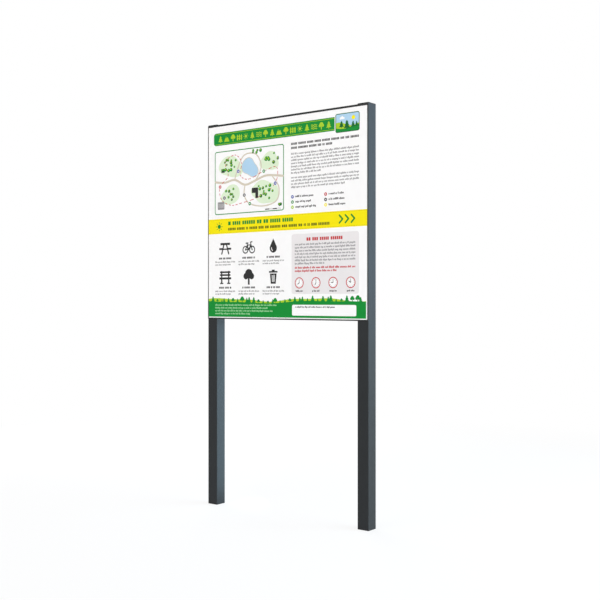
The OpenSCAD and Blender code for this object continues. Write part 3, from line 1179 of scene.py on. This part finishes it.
# Place, aim, width and height of each softbox, in metres
SOFTBOXES = {
    "key": ((-0.6, -6.4, 4.6), (0.0, 0.0, 1.5), 4.5, 3.5),
    "side": ((1.9, 2.5, 2.4), (-0.1, 0.0, 1.9), 4.2, 2.6),
    "fill": ((-0.35, 0.24, 0.61), (-0.57, 0.0, 0.61), 0.2, 1.2),
    "flank": ((6.0, 1.5, 1.5), (0.0, 0.0, 1.2), 5.0, 4.0),
    "back": ((-5.0, 3.2, 2.6), (0.0, 0.0, 1.4), 4.0, 3.0),
}
WHITE = (1.0, 1.0, 1.0)


def floor_material(tone):
    """Matt and pale where the board stands, and plain white to the eye far from it."""
    nodes = Nodes(bpy.data.materials.new("studio_floor"))
    x, y, _ = nodes.axes()
    far = nodes.step(x * x + y * y, 4.0, 30.0)
    speckle = nodes.noise(2.0)
    matt = nodes.add("ShaderNodeBsdfPrincipled", {}, {
        "Base Color": nodes.between(speckle, shaded(tone, 0.985), shaded(tone, 1.015)),
        "Roughness": 0.9,
        "Specular IOR Level": 0.0,
    })
    white = nodes.add("ShaderNodeEmission", {}, {"Color": WHITE, "Strength": 1.0})
    share = nodes.seen() * (0.82 + 0.18 * far)
    mixed = nodes.add("ShaderNodeMixShader", {}, [share, matt["BSDF"], white["Emission"]])
    return nodes.output(mixed["Shader"])


def studio_floor(tone):
    """A wide round floor that keeps the board's shadow."""
    sides = 64
    bm = bmesh.new()
    radii = (0.5, 1.0, 2.0, 3.0, 5.0, 8.0, 14.0, 40.0)
    rings = [[(*polar(0.0, 0.0, radius, a), 0.0) for a in angles(sides)] for radius in radii]
    join_rings(bm, rings, closed=False)
    bm.verts.ensure_lookup_table()
    bm.faces.new(bm.verts[:sides])
    mesh_object("studio_floor", bm, [floor_material(tone)])


def studio_world(ambient):
    """Light from all round, which looks plain white to the eye and in reflections."""
    world = bpy.data.worlds.new("studio_world")
    bpy.context.scene.world = world
    nodes = Nodes(world)
    light = nodes.add("ShaderNodeBackground", {}, {
        "Color": WHITE, "Strength": ambient + nodes.seen() * (1.0 - ambient)})
    nodes.output(light["Background"], "ShaderNodeOutputWorld")


def softbox(name, studio):
    """A soft area lamp that faces its aim, and isn't seen itself."""
    place, aim, wide, high = SOFTBOXES[name]
    lamp = bpy.data.lights.new(name + "_softbox", "AREA")
    lamp.shape = "RECTANGLE"
    lamp.size = wide
    lamp.size_y = high
    lamp.energy = getattr(studio, name)
    lamp.color = getattr(studio, name + "_light")
    holder = add_object(name + "_softbox", lamp)
    holder.location = place
    holder.rotation_euler = (Vector(aim) - Vector(place)).to_track_quat("-Z", "Y").to_euler()
    holder.visible_camera = False


class BOARD_OT_studio(bpy.types.Operator):
    """Set up the pale floor, the soft lamps and the camera"""

    bl_idname = "board.studio"
    bl_label = "Studio"

    def execute(self, context):
        studio = context.scene.board_studio
        studio_floor(studio.floor)
        studio_world(studio.ambient)
        for name in SOFTBOXES:
            softbox(name, studio)
        lens = bpy.data.cameras.new("photo_camera")
        lens.sensor_fit = "HORIZONTAL"
        lens.sensor_width = 36.0
        lens.lens = studio.camera_lens
        lens.clip_end = 200.0
        camera = add_object("photo_camera", lens)
        camera.location = studio.camera_place
        camera.rotation_euler = (radians(90), 0.0, studio.camera_turn)
        context.scene.camera = camera
        context.scene.view_settings.view_transform = "Standard"
        return {"FINISHED"}


# Panel and registration

OPERATORS = (
    BOARD_OT_print_panel,
    BOARD_OT_posts_and_rails,
    BOARD_OT_sign_sheet,
    BOARD_OT_post_caps,
    BOARD_OT_fastener_metals,
    BOARD_OT_weld_beads,
    BOARD_OT_threaded_studs,
    BOARD_OT_nylon_rings,
    BOARD_OT_studio,
)
SETTINGS = {
    "board_print": PrintSettings,
    "board_coats": CoatSettings,
    "board_fixings": FixingSettings,
    "board_studio": StudioSettings,
}


class BOARD_PT_sidebar(bpy.types.Panel):
    """Settings of the information board, and the steps that build it"""

    bl_idname = "BOARD_PT_sidebar"
    bl_label = "Information Board"
    bl_space_type = "VIEW_3D"
    bl_region_type = "UI"
    bl_category = "Board"

    def draw(self, context):
        for operator in OPERATORS:
            self.layout.operator(operator.bl_idname)
        for name, group in SETTINGS.items():
            box = self.layout.box()
            box.label(text=name.replace("board_", "").capitalize())
            for key in group.__annotations__:
                box.prop(getattr(context.scene, name), key)


CLASSES = (*SETTINGS.values(), *OPERATORS, BOARD_PT_sidebar)


def register():
    for item in CLASSES:
        bpy.utils.register_class(item)
    for name, group in SETTINGS.items():
        setattr(bpy.types.Scene, name, PointerProperty(type=group))


def unregister():
    for name in SETTINGS:
        delattr(bpy.types.Scene, name)
    for item in reversed(CLASSES):
        bpy.utils.unregister_class(item)


def main():
    register()
    bpy.ops.board.print_panel()
    bpy.ops.board.posts_and_rails()
    bpy.ops.board.sign_sheet()
    bpy.ops.board.post_caps()
    bpy.ops.board.fastener_metals()
    bpy.ops.board.weld_beads()
    bpy.ops.board.threaded_studs()
    bpy.ops.board.nylon_rings()
    bpy.ops.board.studio()


if __name__ == "__main__":
    main()
